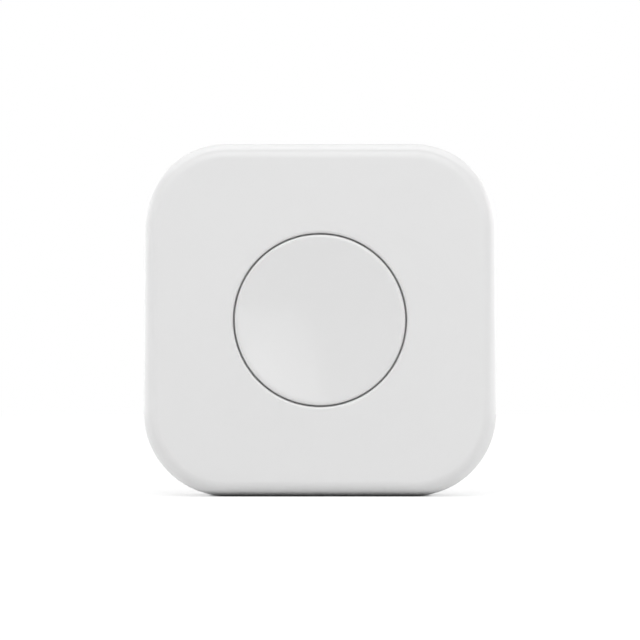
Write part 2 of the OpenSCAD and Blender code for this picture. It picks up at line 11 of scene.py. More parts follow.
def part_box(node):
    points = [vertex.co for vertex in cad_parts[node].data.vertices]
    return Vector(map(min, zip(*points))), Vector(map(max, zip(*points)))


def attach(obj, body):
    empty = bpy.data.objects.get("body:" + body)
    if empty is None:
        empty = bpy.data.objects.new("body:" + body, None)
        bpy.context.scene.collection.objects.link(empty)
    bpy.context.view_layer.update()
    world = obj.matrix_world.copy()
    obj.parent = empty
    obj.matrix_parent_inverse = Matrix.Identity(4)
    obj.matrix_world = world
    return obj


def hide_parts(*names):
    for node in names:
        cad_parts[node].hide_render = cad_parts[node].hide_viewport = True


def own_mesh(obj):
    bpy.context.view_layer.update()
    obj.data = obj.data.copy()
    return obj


bl_info = {
    "name": "Square wireless button",
    "version": (1, 0, 0),
    "blender": (4, 5, 0),
    "location": "3D View > Sidebar > Wireless button",
    "description": "Dresses the packed model of a square wireless button and sets up its studio",
    "category": "Object",
}

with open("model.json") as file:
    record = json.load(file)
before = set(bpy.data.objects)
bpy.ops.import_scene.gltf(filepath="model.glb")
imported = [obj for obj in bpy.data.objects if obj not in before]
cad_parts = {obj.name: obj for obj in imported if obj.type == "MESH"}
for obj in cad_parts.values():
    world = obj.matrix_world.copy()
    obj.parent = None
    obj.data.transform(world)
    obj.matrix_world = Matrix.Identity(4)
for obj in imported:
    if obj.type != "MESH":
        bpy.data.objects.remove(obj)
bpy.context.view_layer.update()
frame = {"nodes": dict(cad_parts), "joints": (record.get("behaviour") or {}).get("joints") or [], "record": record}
MM = 0.001


def record_colour(slot):
    """Base colour that the part's record gives a material slot."""
    return next(m["base_color"] for m in frame["record"]["materials"] if m["slot"] == slot)


def joint_limit(name):
    """Upper limit of a hinge, in radians."""
    joint = next(joint for joint in frame["joints"] if joint["name"] == name)
    return radians(joint["range_deg"][1])


# The casing's place in the frame: pieces are drawn with Z from its back to its front, then stood up
COVER_LO, COVER_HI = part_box("front_cover")
CASING_W = COVER_HI.x - COVER_LO.x
BACK_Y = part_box("base_plate")[1].y
MIDDLE_Z = (COVER_LO.z + COVER_HI.z) / 2
CASING_D = BACK_Y - COVER_LO.y
UPRIGHT = Matrix.Translation((0, BACK_Y, MIDDLE_Z)) @ Matrix.Rotation(pi / 2, 4, "X")

# Points around every outline, and steps in the larger and smaller round-overs
SIDES = 192
SECTOR_STEP, FEWEST_STEPS = radians(2), 4
EDGE_STEPS = 14
BREAK_STEPS = 4
POST_SIDES = 48
# Overlap that lets one shape join or cut another cleanly, the width of the bands that keep
# flats flat, and the distance within which points left by a cut are one point
LAP = 0.05 * MM
FLAT_BAND = 0.02 * MM
WELD = 0.001 * MM
SHARP_ANGLE = radians(32)

# Cover, behind what the settings hold
Z_COVER = BACK_Y - COVER_HI.y
SIDE_WALL = 1.6 * MM
FRONT_WALL = 1.8 * MM
Z_FRONT_IN = CASING_D - FRONT_WALL
COLLAR_R = 12.23 * MM
COLLAR_T = 1.2 * MM
Z_COLLAR = 8.5 * MM
KEY_COUNT = 3
KEY_W = 2 * MM
KEY_DEPTH = 0.6 * MM
SCREW_PLACE = 15.3 * MM
BOSS_R = 2.1 * MM
PILOT_R = 0.87 * MM
PILOT_DEPTH = 2.7 * MM
Z_BOARD_BACK = 5.8 * MM
Z_BOARD_FRONT = 6.8 * MM

# Cap
SKIRT_R = 9.85 * MM
FLANGE_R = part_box("button_cap")[1].x
Z_FLANGE = 9.2 * MM
Z_CAP_UNDER = 10.35 * MM
POST_R = 1.7 * MM
Z_POST = 9 * MM
KEY_SLOT_R = 11.47 * MM
KEY_SLOT_W = 2.16 * MM
RIB_COUNT = 6
RIB_T = 0.8 * MM
RIB_H = 0.8 * MM
DISH_RINGS = 28

# Base and door
RIM_W = 44.6 * MM
RIM_R = 10.4 * MM
RIM_H = 1.4 * MM
RIM_BREAK = 0.12 * MM
BASE_T = 2 * MM
PLATE_W = 41.6 * MM
PLATE_R = 8.9 * MM
LIP_T = 1 * MM
Z_LIP = 3.2 * MM
SEAT_RING_R = 14 * MM
SEAT_RING_T = 0.8 * MM
Z_SEAT_RING = 2.8 * MM
PAD_RECESS = 0.4 * MM
PAD_FIT = 0.1 * MM
SCREW_HOLE_R = 0.95 * MM
HEAD_HOLE_R = 1.65 * MM
Z_HEAD = 1.3 * MM
DOOR_GAP = 0.1 * MM
DOOR_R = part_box("battery_door")[1].x
DOOR_FLANGE_T = 0.9 * MM
NECK_R = 11.5 * MM
POCKET_R = 10.5 * MM
DOOR_FLOOR = 1.8 * MM
Z_NECK = 2.86 * MM
LUG_COUNT = 3
LUG_R = 12.5 * MM
LUG_ANGLE = radians(26)
LUG_T = 0.8 * MM
LUG_DROP = 0.01 * MM
TWIST = joint_limit("door_twist")
NOTCH_ANGLE = radians(30)
STOP_ANGLE = radians(5)
STOP_TURNS = (radians(16), radians(-57.5))
DOT_R = 0.45 * MM
DOT_DEPTH = 0.25 * MM
DOT_RING_R = 13.65 * MM
DOOR_DOT_R = 11.8 * MM

# Foam pad
PAD_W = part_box("mounting_pad")[1].x * 2
PAD_R = 8.4 * MM
PAD_HOLE_R = 14.5 * MM
PAD_T = 0.8 * MM
PAD_PROUD = 0.4 * MM
PAD_SOFT = 0.12 * MM

# Snap dome under the switch's plunger
DOME_R = 1.8 * MM
DOME_T = 0.08 * MM
DOME_H = 0.48 * MM
Z_DOME = 7.15 * MM
DOME_RINGS = 10

# White plastic: slow drift of the colour, patches of the gloss, and grain of the mould
DRIFT_SIZE, DRIFT = 9 * MM, 0.004
GLOSS_PATCH_SIZE, GLOSS_CHANGE = 2.5 * MM, 0.06
GRAIN_SIZE, GRAIN_STRENGTH = 0.16 * MM, 0.5
CASING_GRAIN_DEPTH = 0.004 * MM
CAP_GRAIN_DEPTH = 0.0001 * MM
COVER_ROUGHNESS = 0.36
BACK_ROUGHNESS = 0.4

# Foam, metal, small mouldings and the board
FOAM_SHADE = 0.035
FOAM_PATCH_SIZE, FOAM_ROUGHNESS = 3 * MM, (0.55, 0.75)
FOAM_DEPTH, FOAM_STRENGTH = 0.03 * MM, 0.6
MARK_SIZE, MARK_SHADE = 0.12 * MM, 0.05
MARK_DEPTH, MARK_STRENGTH = 0.002 * MM, 0.4
ROLLED = 8
BODY_GRAIN_SIZE, BODY_SHADE, BODY_GLOSS_CHANGE = 0.08 * MM, 0.08, 0.15
BODY_DEPTH, BODY_STRENGTH = 0.004 * MM, 0.5
TRACK_PITCH, TRACK_SCATTER, TRACK_EDGE = 1.6 * MM, 0.5, (0.03, 0.05)
TRACK_DEPTH, TRACK_STRENGTH = 0.02 * MM, 0.6
TRACK_GAIN, TRACK_LIFT = 1.7, 0.01
MASK_PATCH_SIZE, MASK_ROUGHNESS = 0.5 * MM, (0.3, 0.42)
LAMINATE = (0.42, 0.36, 0.2)
BOARD_EDGE = (0.4, 0.6)

# Studio, in metres. As it is seen, the floor turns to plain white between two distances from the
# button, and nearer it glows and takes a share of the light.
FLOOR_HALF = 2.0
FLOOR_NEAR, FLOOR_FAR = 0.15, 0.5
SEEN_SHARE, SEEN_GLOW = 0.45, 0.62
# Shade painted onto the floor where the button touches it, as the floor is lit and as it is seen:
# its reach, and the AO value at which the painted shade is darkest and clear
PAINTED_SHADE_REACH, PAINTED_SHADE_RANGE = 0.7 * MM, (0.7, 1)
SEEN_PAINTED_SHADOW_REACH, SEEN_PAINTED_SHADOW_RANGE = 0.4 * MM, (0, 0.5)
PAINTED_SHADE_SAMPLES = 8
# Softboxes by the setting of their power: width and height, place, and whether the gloss mirrors
# them. Mirrored, the side and back ones would wash out the casing's upper side seen along its flat.
SOFTBOXES = {
    "top": ((1.5, 1.2), (0, -0.75, 1.2), True),
    "rim": ((1.7, 0.4), (0, 0.75, 0.95), True),
    "left_rear": ((1.0, 0.6), (-0.75, 1.15, 0.15), True),
    "right_rear": ((1.2, 0.6), (0.85, 1.1, 0.15), True),
    "left_side": ((1.2, 0.8), (-0.8, -0.1, 0.15), False),
    "right_side": ((1.2, 0.8), (0.8, -0.1, 0.15), False),
    "back": ((1.5, 0.8), (0, 1.3, 0.25), False),
}
# The key box's lower left corner shows in the cap's dish as the tip of a pale wedge
KEY_LAMP_SIZE = 0.5
KEY_LAMP_CORNER = Vector((0.0385, -1.2, MIDDLE_Z - 0.031))
KEY_LAMP_ACROSS = Vector((0.864, 0.5, -0.055)).normalized()
KEY_LAMP_UP = Vector((-0.236, 0.5, 0.833)).normalized()
# Share of its light that the key box keeps along two edges, and the part of its width so dimmed
KEY_LAMP_DIM_SHARE, KEY_LAMP_DIM_DEPTH = 0.5, 0.3
CAMERA_CLIP = 0.01
# Widths of the casing and of the whole photo, in its pixels
PHOTO_CASING, PHOTO_WIDTH = 352, 640


class CasingSettings(PropertyGroup):
    """Sizes and colour of the cover and the base."""

    corner_r: FloatProperty(
        name="Corner radius", description="Radius of the casing's corners, seen from the front",
        default=10.6 * MM, min=8 * MM, max=12 * MM, unit="LENGTH", precision=5)
    front_edge: FloatProperty(
        name="Front edge", description="Radius of the round-over along the front edge",
        default=1.4 * MM, min=0.6 * MM, max=2 * MM, unit="LENGTH", precision=5)
    edge_turn: FloatProperty(
        name="Edge turn",
        description="Angle that the front edge turns through before the side's slow curve",
        default=radians(60), min=radians(50), max=radians(75), unit="ROTATION")
    side_curve: FloatProperty(
        name="Side curve",
        description="Radius of the slow curve between the front edge and the flat of the side",
        default=6 * MM, min=4 * MM, max=8 * MM, unit="LENGTH", precision=5)
    rear_edge: FloatProperty(
        name="Rear edge", description="Radius of the round-over along the back of the base",
        default=0.6 * MM, min=0.2 * MM, max=1 * MM, unit="LENGTH", precision=5)
    edge_break: FloatProperty(
        name="Edge break", description="Radius that breaks the moulded edges",
        default=0.15 * MM, min=0.05 * MM, max=0.25 * MM, unit="LENGTH", precision=5)
    opening_r: FloatProperty(
        name="Opening radius", description="Radius of the round opening for the cap",
        default=11.05 * MM, min=9 * MM, max=12 * MM, unit="LENGTH", precision=5)
    opening_lip: FloatProperty(
        name="Opening lip", description="Radius of the round-over around the opening",
        default=0.35 * MM, min=0.05 * MM, max=0.5 * MM, unit="LENGTH", precision=5)
    colour: FloatVectorProperty(
        name="Colour", description="Colour of the moulded casing",
        default=record_colour("casing"), min=0, max=1, subtype="COLOR")


class CapSettings(PropertyGroup):
    """Sizes and colour of the press cap."""

    gap: FloatProperty(
        name="Gap", description="Width of the gap that shows around the cap",
        default=0.2 * MM, min=0.15 * MM, max=0.6 * MM, unit="LENGTH", precision=5)
    edge: FloatProperty(
        name="Edge", description="Radius of the round-over around the cap's face",
        default=0.3 * MM, min=0.05 * MM, max=0.5 * MM, unit="LENGTH", precision=5)
    dish_depth: FloatProperty(
        name="Dish depth", description="Depth of the dish in the cap's face",
        default=0.45 * MM, min=0.1 * MM, max=0.8 * MM, unit="LENGTH", precision=5)
    roughness: FloatProperty(
        name="Roughness", description="How far the cap's finish blurs what it mirrors",
        default=0.05, min=0, max=1, subtype="FACTOR")
    colour: FloatVectorProperty(
        name="Colour", description="Colour of the cap",
        default=record_colour("cap"), min=0, max=1, subtype="COLOR")


class DoorSettings(PropertyGroup):
    """Sizes of the battery door's coin slot."""

    slot_l: FloatProperty(
        name="Slot length", description="Length of the coin slot",
        default=15 * MM, min=10 * MM, max=18 * MM, unit="LENGTH", precision=5)
    slot_w: FloatProperty(
        name="Slot width", description="Width of the coin slot",
        default=2 * MM, min=1.5 * MM, max=2.5 * MM, unit="LENGTH", precision=5)
    slot_depth: FloatProperty(
        name="Slot depth", description="Depth of the coin slot",
        default=1 * MM, min=0.6 * MM, max=1.1 * MM, unit="LENGTH", precision=5)


class PadSettings(PropertyGroup):
    """Look of the foam pad."""

    cell: FloatProperty(
        name="Foam cell", description="Width of the cells that show in the foam",
        default=0.25 * MM, min=0.05 * MM, max=1 * MM, unit="LENGTH", precision=5)
    colour: FloatVectorProperty(
        name="Colour", description="Colour of the foam",
        default=record_colour("pad"), min=0, max=1, subtype="COLOR")


class StageSettings(PropertyGroup):
    """Camera, floor and studio light."""

    lens: FloatProperty(
        name="Lens", description="Focal length of the camera",
        default=250, min=35, max=400, unit="CAMERA")
    casing_share: FloatProperty(
        name="Casing share", description="Share of the picture's width that the casing fills",
        default=PHOTO_CASING / PHOTO_WIDTH, min=0.1, max=1, subtype="FACTOR")
    ambient: FloatProperty(
        name="Room light", description="Strength of the even light from all round",
        default=0.14, min=0, max=2)
    top: FloatProperty(
        name="Top softbox", description="Power of the softbox above and in front of the button",
        default=12.9, min=0, max=50, unit="POWER")
    key: FloatProperty(
        name="Key softbox", description="Power of the softbox that shows in the cap's dish",
        default=1.17, min=0, max=50, unit="POWER")
    left_side: FloatProperty(
        name="Left softbox", description="Power of the softbox to the left of the button",
        default=3.9, min=0, max=50, unit="POWER")
    right_side: FloatProperty(
        name="Right softbox", description="Power of the softbox to the right of the button",
        default=3.5, min=0, max=50, unit="POWER")
    left_rear: FloatProperty(
        name="Left rear softbox",
        description="Power of the softbox behind the button on the left",
        default=2.5, min=0, max=50, unit="POWER")
    right_rear: FloatProperty(
        name="Right rear softbox",
        description="Power of the softbox behind the button on the right",
        default=3.3, min=0, max=50, unit="POWER")
    back: FloatProperty(
        name="Back softbox", description="Power of the softbox behind the button",
        default=5.8, min=0, max=50, unit="POWER")
    rim: FloatProperty(
        name="Rim softbox",
        description="Power of the softbox above and behind the button, for its upper edge",
        default=4.0, min=0, max=50, unit="POWER")
    floor_colour: FloatVectorProperty(
        name="Floor colour", description="Colour of the floor",
        default=(0.82, 0.82, 0.82), min=0, max=1, subtype="COLOR")


def disc(r):
    """Round outline."""
    return [(r * cos(2 * pi * i / SIDES), r * sin(2 * pi * i / SIDES)) for i in range(SIDES)]


def rounded_square(w, r):
    """Outline of a square with round corners, which hold most of the points."""
    in_corner = SIDES // 6
    on_side = (SIDES // 4 - in_corner) // 2
    reach, straight = w / 2, w / 2 - r
    side = [(reach, straight * i / on_side) for i in range(on_side)]
    turns = [pi / 2 * i / in_corner for i in range(in_corner)]
    corner = [(straight + r * cos(t), straight + r * sin(t)) for t in turns]
    top = [(straight * (1 - i / on_side), reach) for i in range(on_side)]
    quarter = side + corner + top
    half = quarter + [(-y, x) for x, y in quarter]
    return half + [(-x, -y) for x, y in half]


def slot_outline(l, w):
    """Outline of a slot with round ends."""
    in_end = SIDES // 12
    on_side = SIDES // 4 - in_end
    r, straight = w / 2, (l - w) / 2
    turns = [pi / 2 * i / in_end for i in range(in_end)]
    quarter = [(straight + r * cos(t), r * sin(t)) for t in turns]
    quarter += [(straight * (1 - i / on_side), r) for i in range(on_side)]
    mirrored = [(-x, y) for x, y in reversed(quarter[1:] + [(0, r)])]
    half = quarter + mirrored
    return half + [(-x, -y) for x, y in half]


def sector(r_in, r_out, angle, turn):
    """Outline of a part of a ring, centred on a direction."""
    steps = max(FEWEST_STEPS, round(angle / SECTOR_STEP))
    turns = [turn - angle / 2 + angle * i / steps for i in range(steps + 1)]
    outer = [(r_out * cos(t), r_out * sin(t)) for t in turns]
    return outer + [(r_in * cos(t), r_in * sin(t)) for t in reversed(turns)]


def bar(x0, x1, w, turn):
    """Outline of a straight bar from x0 to x1, turned about the middle."""
    corners = [(x0, -w / 2), (x1, -w / 2), (x1, w / 2), (x0, w / 2)]
    return [(x * cos(turn) - y * sin(turn), x * sin(turn) + y * cos(turn)) for x, y in corners]


def post(r, x, y):
    """Outline of a round post at a place."""
    turns = [2 * pi * i / POST_SIDES for i in range(POST_SIDES)]
    return [(x + r * cos(t), y + r * sin(t)) for t in turns]


def at_corners(distance):
    """Places of four posts around the middle."""
    return [(x * distance, y * distance) for x in (-1, 1) for y in (-1, 1)]


def around(count):
    """Directions spread evenly over a turn."""
    return [2 * pi * i / count for i in range(count)]


def quarter_round(steps):
    """Angles of a quarter round, with both ends."""
    return [pi / 2 * i / steps for i in range(steps + 1)]


def onto_face(outline, r, z, rise, steps=BREAK_STEPS):
    """Rings of a round-over from a wall, which rises (1) or drops (-1), onto a face at z."""
    return [(outline(r * (1 - cos(t))), z + rise * r * (1 - sin(t))) for t in quarter_round(steps)]


def off_face(outline, r, z, rise, steps=BREAK_STEPS):
    """Rings of a round-over from a face at z onto a wall, which rises (1) or drops (-1)."""
    return [(outline(r * (1 - sin(t))), z + rise * r * (1 - cos(t))) for t in quarter_round(steps)]


def casing_edge(casing):
    """Inset and depth of points on the front edge, from the front to the flat of the side."""
    turn, front_r, side_r = casing.edge_turn, casing.front_edge, casing.side_curve
    inset = front_r * sin(turn) + side_r * (1 - sin(turn))
    depth = front_r * (1 - cos(turn)) + side_r * cos(turn)
    edge = []
    for i in range(EDGE_STEPS + 1):
        t = turn * i / EDGE_STEPS
        edge.append((inset - front_r * sin(t), front_r * (1 - cos(t))))
    for i in range(1, EDGE_STEPS + 1):
        t = turn + (pi / 2 - turn) * i / EDGE_STEPS
        edge.append((side_r * (1 - sin(t)), depth - side_r * cos(t)))
    return edge


def piece_from(name, bm):
    """Closes a mesh under construction and puts it in the scene as a piece."""
    bmesh.ops.recalc_face_normals(bm, faces=bm.faces)
    mesh = bpy.data.meshes.new(name)
    bm.to_mesh(mesh)
    bm.free()
    piece = bpy.data.objects.new(name, mesh)
    bpy.context.scene.collection.objects.link(piece)
    return piece


def bridge(bm, loops):
    """Joins each loop of points to the next with four-sided faces."""
    for loop, after in zip(loops, loops[1:]):
        for i in range(len(loop)):
            j = (i + 1) % len(loop)
            bm.faces.new((loop[i], loop[j], after[j], after[i]))


def skin(bm, rings, closed):
    """Skins outlines, each with its height, into a ring, or into a piece with flat ends."""
    loops = [[bm.verts.new((x, y, z)) for x, y in outline] for outline, z in rings]
    bridge(bm, loops + loops[:1] if closed else loops)
    if not closed:
        bm.faces.new(loops[0])
        bm.faces.new(loops[-1])


def skinned(name, rings, closed=True):
    """A piece skinned from outlines."""
    bm = bmesh.new()
    skin(bm, rings, closed)
    return piece_from(name, bm)


def turned_piece(name, section):
    """A piece turned about the Z axis from (radius, height) points, on the axis at both ends."""
    bm = bmesh.new()
    loops = [[bm.verts.new((x, y, z)) for x, y in disc(r)] for r, z in section[1:-1]]
    bridge(bm, loops)
    for (_, z), loop in ((section[0], loops[0]), (section[-1], loops[-1])):
        tip = bm.verts.new((0, 0, z))
        for i in range(SIDES):
            bm.faces.new((tip, loop[i], loop[(i + 1) % SIDES]))
    return piece_from(name, bm)


def prisms(solids):
    """Tool made of upright prisms, each an outline with its lower and upper height."""
    bm = bmesh.new()
    for outline, low, high in solids:
        skin(bm, [(outline, low), (outline, high)], closed=False)
    return piece_from("tool", bm)


def weld(mesh):
    """Takes out the points and faces of no size that a cut leaves."""
    bm = bmesh.new()
    bm.from_mesh(mesh)
    bmesh.ops.remove_doubles(bm, verts=bm.verts, dist=WELD)
    bmesh.ops.dissolve_degenerate(bm, dist=WELD, edges=bm.edges)
    bm.to_mesh(mesh)
    bm.free()


def shape_with(piece, solids, operation):
    """Joins prisms to a piece, or cuts them out of it."""
    tool = prisms(solids)
    modifier = piece.modifiers.new("tool", "BOOLEAN")
    modifier.object = tool
    modifier.operation = operation
    modifier.solver = "EXACT"
    evaluated = piece.evaluated_get(bpy.context.evaluated_depsgraph_get())
    shaped = bpy.data.meshes.new_from_object(evaluated)
    piece.modifiers.remove(modifier)
    drawn, tool_mesh = piece.data, tool.data
    piece.data = shaped
    bpy.data.objects.remove(tool)
    for mesh in (drawn, tool_mesh):
        bpy.data.meshes.remove(mesh)
    shaped.name = piece.name
    weld(shaped)
    if not shaped.polygons:
        raise RuntimeError(f"{piece.name} came out empty")


def fit(piece, finish, body, node):
    """Stands a piece up in the frame with its finish, in place of its CAD node."""
    mesh = piece.data
    mesh.transform(UPRIGHT)
    mesh.shade_smooth()
    mesh.set_sharp_from_angle(angle=SHARP_ANGLE)
    mesh.materials.clear()
    mesh.materials.append(finish)
    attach(piece, body)
    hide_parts(node)


class Finish:
    """A procedural material under construction, with the nodes that the finishes share."""

    def __init__(self, name):
        self.material = bpy.data.materials.new(name)
        self.material.use_nodes = True
        self.tree = self.material.node_tree
        self.shader = self.tree.nodes["Principled BSDF"]
        self.place = self.tree.nodes.new("ShaderNodeTexCoord").outputs["Object"]

    def add(self, kind, **values):
        node = self.tree.nodes.new(kind)
        for name, value in values.items():
            setattr(node, name, value)
        return node

    def link(self, source, target):
        self.tree.links.new(source, target)

    def grain(self, size, detail=3.0, stretch=(1, 1, 1)):
        """Noise whose spots are about one size across, longer along the stretched axes."""
        mapping = self.add("ShaderNodeMapping", vector_type="TEXTURE")
        mapping.inputs["Scale"].default_value = stretch
        self.link(self.place, mapping.inputs["Vector"])
        noise = self.add("ShaderNodeTexNoise")
        noise.inputs["Scale"].default_value = 1 / size
        noise.inputs["Detail"].default_value = detail
        self.link(mapping.outputs["Vector"], noise.inputs["Vector"])
        return noise.outputs["Fac"]

    def cells(self, size):
        """Distance pattern of cells of about one size."""
        cells = self.add("ShaderNodeTexVoronoi", feature="F1")
        cells.inputs["Scale"].default_value = 1 / size
        self.link(self.place, cells.inputs["Vector"])
        return cells.outputs["Distance"]

    def spread(self, value, low, high, start=0.3, end=0.7):
        """Maps the middle of a pattern to a range."""
        node = self.add("ShaderNodeMapRange")
        ends = {"From Min": start, "From Max": end, "To Min": low, "To Max": high}
        for name, number in ends.items():
            node.inputs[name].default_value = number
        self.link(value, node.inputs["Value"])
        return node.outputs["Result"]

    def mixed(self, factor, first, second):
        """Colour between two colours."""
        node = self.add("ShaderNodeMix", data_type="RGBA")
        self.link(factor, node.inputs["Factor"])
        colours = [socket for socket in node.inputs if socket.type == "RGBA"]
        for socket, colour in zip(colours, (first, second)):
            if isinstance(colour, bpy.types.NodeSocket):
                self.link(colour, socket)
            else:
                socket.default_value = (*colour, 1)
        return next(socket for socket in node.outputs if socket.type == "RGBA")

    def painted_crevice_shade(self, reach, start, end, high=1):
        """Painted shade factor: 0 in the gap under a piece that stands on the surface, and high in the open."""
        node = self.add("ShaderNodeAmbientOcclusion", samples=PAINTED_SHADE_SAMPLES)
        node.inputs["Distance"].default_value = reach
        return self.spread(node.outputs["AO"], 0, high, start, end)

    def blended(self, factor, first, second):
        """Shader between two shaders."""
        node = self.add("ShaderNodeMixShader")
        for source, socket in zip((factor, first, second), node.inputs):
            self.link(source, socket)
        return node.outputs["Shader"]

    def shaded(self, pattern, colour, change):
        """Colour that drifts a little either side of its middle."""
        darker = [c * (1 - change) for c in colour]
        lighter = [min(1, c * (1 + change)) for c in colour]
        drift = self.mixed(self.spread(pattern, 0, 1), darker, lighter)
        self.link(drift, self.shader.inputs["Base Color"])

    def rough(self, pattern, low, high):
        """Roughness that follows a pattern."""
        self.link(self.spread(pattern, low, high), self.shader.inputs["Roughness"])

    def relief(self, height, depth, strength):
        """Bump that follows a pattern."""
        node = self.add("ShaderNodeBump")
        node.inputs["Distance"].default_value = depth
        node.inputs["Strength"].default_value = strength
        self.link(height, node.inputs["Height"])
        self.link(node.outputs["Normal"], self.shader.inputs["Normal"])


def moulded_plastic(name, colour, roughness, grain_depth):
    """White moulded plastic with the fine even grain of an eroded mould."""
    finish = Finish(name)
    finish.shaded(finish.grain(DRIFT_SIZE, detail=2), colour, DRIFT)
    finish.rough(
        finish.grain(GLOSS_PATCH_SIZE),
        roughness * (1 - GLOSS_CHANGE), roughness * (1 + GLOSS_CHANGE))
    finish.relief(finish.grain(GRAIN_SIZE, detail=2), grain_depth, GRAIN_STRENGTH)
    return finish.material


def pad_foam(colour, cell):
    """Closed-cell foam with a tacky skin."""
    finish = Finish("pad_foam")
    cells = finish.cells(cell)
    finish.shaded(cells, colour, FOAM_SHADE)
    finish.rough(finish.grain(FOAM_PATCH_SIZE), *FOAM_ROUGHNESS)
    finish.relief(cells, FOAM_DEPTH, FOAM_STRENGTH)
    return finish.material


def plated_metal(name, slot, roughness, stretch=(1, 1, 1)):
    """Plated sheet metal with fine rolling marks."""
    finish = Finish(name)
    finish.shader.inputs["Metallic"].default_value = 1
    marks = finish.grain(MARK_SIZE, stretch=stretch)
    finish.shaded(marks, record_colour(slot), MARK_SHADE)
    finish.rough(marks, *roughness)
    finish.relief(marks, MARK_DEPTH, MARK_STRENGTH)
    return finish.material


def moulded_body(name, slot, roughness):
    """Plain moulding inside the casing: a switch body, chip, gasket or tray."""
    finish = Finish(name)
    grain = finish.grain(BODY_GRAIN_SIZE)
    finish.shaded(grain, record_colour(slot), BODY_SHADE)
    finish.rough(grain, roughness * (1 - BODY_GLOSS_CHANGE), roughness * (1 + BODY_GLOSS_CHANGE))
    finish.relief(grain, BODY_DEPTH, BODY_STRENGTH)
    return finish.material


def solder_mask(colour):
    """Board with tracks that show through its mask, and bare laminate on its edges."""
    finish = Finish("solder_mask")
    tracks = finish.add("ShaderNodeTexVoronoi", feature="DISTANCE_TO_EDGE")
    tracks.inputs["Scale"].default_value = 1 / TRACK_PITCH
    tracks.inputs["Randomness"].default_value = TRACK_SCATTER
    finish.link(finish.place, tracks.inputs["Vector"])
    raised = finish.spread(tracks.outputs["Distance"], 1, 0, *TRACK_EDGE)
    lighter = [min(1, c * TRACK_GAIN + TRACK_LIFT) for c in colour]
    mask = finish.mixed(raised, colour, lighter)
    split = finish.add("ShaderNodeSeparateXYZ")
    finish.link(finish.add("ShaderNodeNewGeometry").outputs["Normal"], split.inputs["Vector"])
    facing = finish.add("ShaderNodeMath", operation="ABSOLUTE")
    finish.link(split.outputs["Y"], facing.inputs[0])
    on_face = finish.spread(facing.outputs["Value"], 0, 1, *BOARD_EDGE)
    finish.link(finish.mixed(on_face, LAMINATE, mask), finish.shader.inputs["Base Color"])
    finish.rough(finish.grain(MASK_PATCH_SIZE), *MASK_ROUGHNESS)
    finish.relief(raised, TRACK_DEPTH, TRACK_STRENGTH)
    return finish.material


class BUTTON_OT_cover(Operator):
    """Makes the moulded cover, with its opening, guide collar, keys and screw bosses"""

    bl_idname = "wireless_button.cover"
    bl_label = "Cover"

    def execute(self, context):
        casing = context.scene.button_casing
        edge, rear = casing_edge(casing), casing.edge_break
        opening, lip = casing.opening_r, casing.opening_lip

        def casing_outline(inset):
            return rounded_square(CASING_W - 2 * inset, casing.corner_r - inset)

        def opening_outline(inset):
            return disc(opening + inset)

        rings = [(disc(opening), Z_FRONT_IN)]
        rings += onto_face(opening_outline, lip, CASING_D, -1)
        rings.append((opening_outline(lip + FLAT_BAND), CASING_D))
        rings.append((casing_outline(edge[0][0] + FLAT_BAND), CASING_D))
        rings += [(casing_outline(inset), CASING_D - depth) for inset, depth in edge]
        rings.append((casing_outline(0), CASING_D - edge[-1][1] - FLAT_BAND))
        rings.append((casing_outline(0), Z_COVER + rear + FLAT_BAND))
        rings += onto_face(casing_outline, rear, Z_COVER, 1)
        rings += [
            (casing_outline(SIDE_WALL), Z_COVER), (casing_outline(SIDE_WALL), Z_FRONT_IN),
            (disc(COLLAR_R + COLLAR_T), Z_FRONT_IN), (disc(COLLAR_R + COLLAR_T), Z_COLLAR),
            (disc(COLLAR_R), Z_COLLAR), (disc(COLLAR_R), Z_FRONT_IN),
        ]
        cover = skinned("cover_moulding", rings)
        key_in, key_out = COLLAR_R - KEY_DEPTH, COLLAR_R + COLLAR_T / 2
        keys = [
            (bar(key_in, key_out, KEY_W, t), Z_COLLAR + LAP, Z_FRONT_IN + LAP)
            for t in around(KEY_COUNT)
        ]
        corners = at_corners(SCREW_PLACE)
        bosses = [(post(BOSS_R, x, y), Z_BOARD_FRONT, Z_FRONT_IN + LAP) for x, y in corners]
        pilots = [
            (post(PILOT_R, x, y), Z_BOARD_FRONT - LAP, Z_BOARD_FRONT + PILOT_DEPTH)
            for x, y in corners
        ]
        shape_with(cover, keys + bosses, "UNION")
        shape_with(cover, pilots, "DIFFERENCE")
        finish = moulded_plastic(
            "cover_plastic", casing.colour, COVER_ROUGHNESS, CASING_GRAIN_DEPTH)
        fit(cover, finish, "housing", "front_cover")
        return {"FINISHED"}


